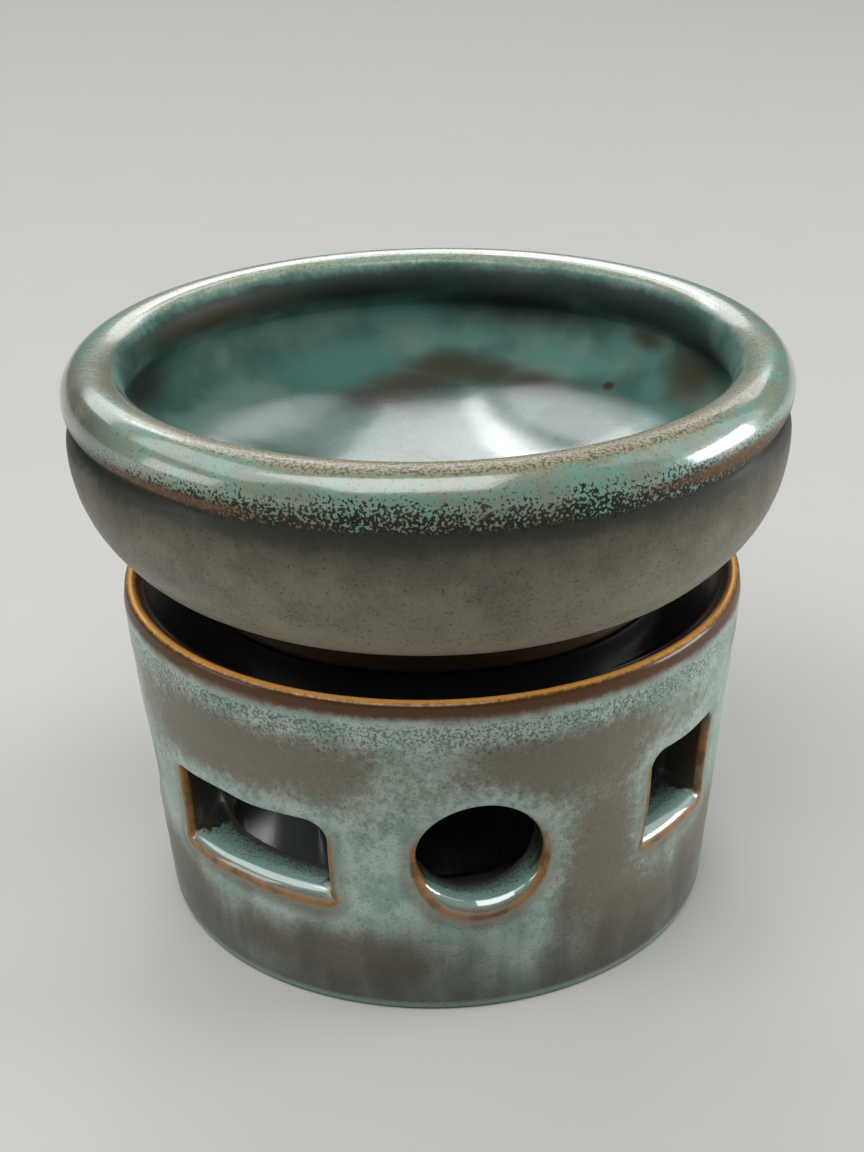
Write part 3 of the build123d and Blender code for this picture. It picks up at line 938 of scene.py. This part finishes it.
# Painted shade: the belly is darker towards the lip
belly = blend(fade(ragged + (belly_run - 0.5) * 6, -23.0, -12.0) * 0.85, belly, belly_dark_and_shade)
belly = blend(fade(ragged, -15.0, -10.8) * 0.7, belly, pool_green)
outer = blend(fade(glaze_line + (fine - 0.5) * 2.0, -11.6, -10.4), belly, lip)
speck_share = fade(glaze_line + (fine - 0.5) * 2, -12.8, -10.8)
speck_share = speck_share * (1 - fade(glaze_line + (patch - 0.5) * 4, -10.0, -5.6))
speck_share = speck_share * (0.5 + front * 0.5)
speck_tone = blend(fade(patch, 0.42, 0.58), speck_green, speck_brown)
speck_strength = 0.5 + fade(speck_share, 0.0, 0.4) * 0.5
outer = blend(fade(spots + speck_share * 0.24, 0.64, 0.70) * speck_strength, outer, speck_tone)
pool = fade(walk + (fine - 0.5) * 1.2 + (patch - 0.5) * 5.0, -14.0, -12.2)
pool = pool * (1 - fade(walk + (fine - 0.5) * 0.5, -9.6, -8.8))
pool = pool * fade(patch + (grain - 0.5) * 0.9, 0.14, 0.38) * (1.0 - front * 0.8)
outer = blend(pool, outer, pool_green)
outer = blend(smudges(spot, rust_places, wander * 0.4 + (spots - 0.5) * 1.4) * 0.85, outer, rust)
foot_line = fade(walk, -37.2, -36.7) * (1 - fade(walk, -36.3, -35.6))
outer = blend(1 - fade(walk + (fine - 0.5) * 0.5, -37.0, -36.4), outer, foot_brown)
outer = blend(foot_line * 0.7, outer, rust)
inside = blend(fade(drift, 0.36, 0.64), bowl_teal, sea_green)
inside = blend(0.35 + drift * 0.3, inside, bowl_teal)
inside = blend(smudges(spot, blue_places, wander * 0.6, (0.2, 1.4)) * 0.9, inside, bowl_blue)
# Painted shade: dark patches on the inner wall just under the lip, and a darker band under the back of the
# lip
inside = blend(smudges(spot, lip_shade_places, wander * 0.6, (0.2, 1.5)), inside, lip_overhang_shade)
under_lip_shade = fade(ragged, 3.6, 5.2) * (1 - fade(ragged, 7.0, 10.0)) * fade(backward, -0.01, 0.02)
inside = blend(under_lip_shade * 0.8, inside, lip_overhang_shade)
inside = blend(smudges(spot, olive_places, wander * 0.6, (0.2, 1.4)) * 0.9, inside, olive)
inside = blend(fade(grain, 0.62, 0.70) * 0.25, inside, iron_speck)
inside = blend(smudges(spot, iron_places, (fine - 0.5) * 0.4), inside, iron_spot)
body = blend(fade(ragged, 2.6, 3.8), outer, inside)
relief = grain * 0.35 + fine * 0.5 + patch * 1.0 + crest * 0.3
bump = start.node("ShaderNodeBump", {}, {"Strength": 0.15, "Distance": 0.0005, "Height": relief})
matt_inside = fade(walk, 2.4, 4.0) * (1 - fade(walk, 22.0, 28.0))
matt_belly = 1 - fade(glaze_line, -9.2, -6.8)
matt = matt_belly.maths("MAXIMUM", matt_belly * 0.7, crest * front * 0.8)
dull_belly = matt_belly * (0.60 + fade(walk, -20.0, -13.0) * 0.28)
dullness = matt_inside.maths("MAXIMUM", matt_inside, dull_belly)
finish_glaze(start, output, dullness, {
    "Base Color": body, "Roughness": 0.18 + patch * 0.10 + matt * 0.28, "IOR": 1.5,
    "Coat Weight": 0.8 - matt * 0.8, "Coat Roughness": 0.11, "Coat IOR": 1.75, "Normal": bump})
through_tree(bowl_piece, thrown, {
    "Ring Depth": 0.00014, "Ring Spacing": 0.0030, "Sway": 0.0004, "Seed": 8.0, "Glaze": bowl_glaze})
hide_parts("bowl")
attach(bowl_piece, "bowl")

# Studio: a plain pale floor in a dim grey surround, a window's panes behind the burner, and soft lights
# above it and at its sides. The camera stands where the photograph was taken from.

floor_size = 3.0
floor_mesh = bpy.data.meshes.new("floor")
floor_mesh.from_pydata([(-floor_size, -floor_size, 0), (floor_size, -floor_size, 0),
                        (floor_size, floor_size, 0), (-floor_size, floor_size, 0)], [], [(0, 1, 2, 3)])
floor_piece = placed("floor", floor_mesh)
floor_paint, start, output = material_start("floor_paint")
spot = start.node("ShaderNodeTexCoord", {}, {}, 3)
mottle = cloud(spot, 0.02, 4.0, 0.6)
floor_colour = blend(fade(mottle, 0.3, 0.7), paint(178, 178, 175), paint(179, 179, 176))
finish_material(start, output, {"Base Color": floor_colour, "Roughness": 0.7})
floor_mesh.materials.append(floor_paint)


def softbox(name, place, size, radiance, target=(0, 0, 0.05)):
    """A soft rectangular light that looks at a target."""
    lamp = bpy.data.lights.new(name, "AREA")
    lamp.shape = "RECTANGLE"
    lamp.size, lamp.size_y = size
    lamp.energy = radiance * math.pi * size[0] * size[1]
    holder = bpy.data.objects.new(name, lamp)
    bpy.context.scene.collection.objects.link(holder)
    look = (Vector(target) - Vector(place)).to_track_quat("-Z", "Y").to_matrix().to_4x4()
    holder.matrix_world = Matrix.Translation(place) @ look


# Three tall panes stand behind the burner in one plane, with a bright strip beside the middle one
pane_away = 1.2
pane_low = 0.84
pane_high = 2.16
pane_height = (pane_low + pane_high) / 2
panes = (
    ("left", -0.43, -0.13, 3.0), ("edge", -0.06, 0.02, 9.0),
    ("middle", 0.02, 0.36, 3.4), ("right", 0.53, 0.75, 2.0),
)
for name, pane_left, pane_right, radiance in panes:
    pane_middle = (pane_left + pane_right) / 2
    pane_size = (pane_right - pane_left, pane_high - pane_low)
    softbox(f"pane_{name}", (pane_middle, pane_away, pane_height), pane_size, radiance,
            (pane_middle, 0, pane_height))
softbox("back_above", (0, 1.7, 1.0), (2.6, 1.0), 2.2, (0, 1.7, 0))
softbox("front_above", (-0.25, -0.60, 1.06), (1.00, 1.00), 4.0, (-0.25, -0.60, 0))
softbox("left_above", (-1.02, 0.08, 1.06), (1.00, 1.50), 1.8, (-1.02, 0.08, 0))
softbox("right_above", (1.25, 0.10, 0.95), (1.10, 1.40), 0.9)
softbox("side_right", (1.00, -0.05, 0.22), (0.50, 0.40), 12.0)
softbox("side_left", (-1.00, -0.10, 0.25), (0.50, 0.40), 2.6)

surround = bpy.data.worlds.new("surround")
surround.use_nodes = True
surround.node_tree.nodes["Background"].inputs["Color"].default_value = (0.86, 0.87, 0.88, 1.0)
surround.node_tree.nodes["Background"].inputs["Strength"].default_value = 0.14
bpy.context.scene.world = surround

camera_azimuth = math.radians(-7.8)
camera_elevation = math.radians(25.3745)
camera_roll = math.radians(-1.1375)
camera_reach = 5.5166 * rim_radius
camera_height = 3.6601 * rim_radius
picture_height = 1152
focal_pixels = 1867.6
across = Vector((math.cos(camera_azimuth), math.sin(camera_azimuth), 0))
ahead = Vector((-math.sin(camera_azimuth) * math.cos(camera_elevation),
                math.cos(camera_azimuth) * math.cos(camera_elevation), -math.sin(camera_elevation)))
above = across.cross(ahead)
right = math.cos(camera_roll) * across + math.sin(camera_roll) * above
top = -math.sin(camera_roll) * across + math.cos(camera_roll) * above
camera_data = bpy.data.cameras.new("camera")
camera_data.sensor_fit = "VERTICAL"
camera_data.sensor_height = 36.0
camera_data.lens = focal_pixels * camera_data.sensor_height / picture_height
camera_data.clip_start = 0.01
camera = bpy.data.objects.new("camera", camera_data)
bpy.context.scene.collection.objects.link(camera)
stance = Matrix((right, top, -ahead)).transposed().to_4x4()
stance.translation = (camera_reach * math.sin(camera_azimuth), -camera_reach * math.cos(camera_azimuth),
                      camera_height)
camera.matrix_world = stance
bpy.context.scene.camera = camera
bpy.context.scene.view_settings.view_transform = "Standard"
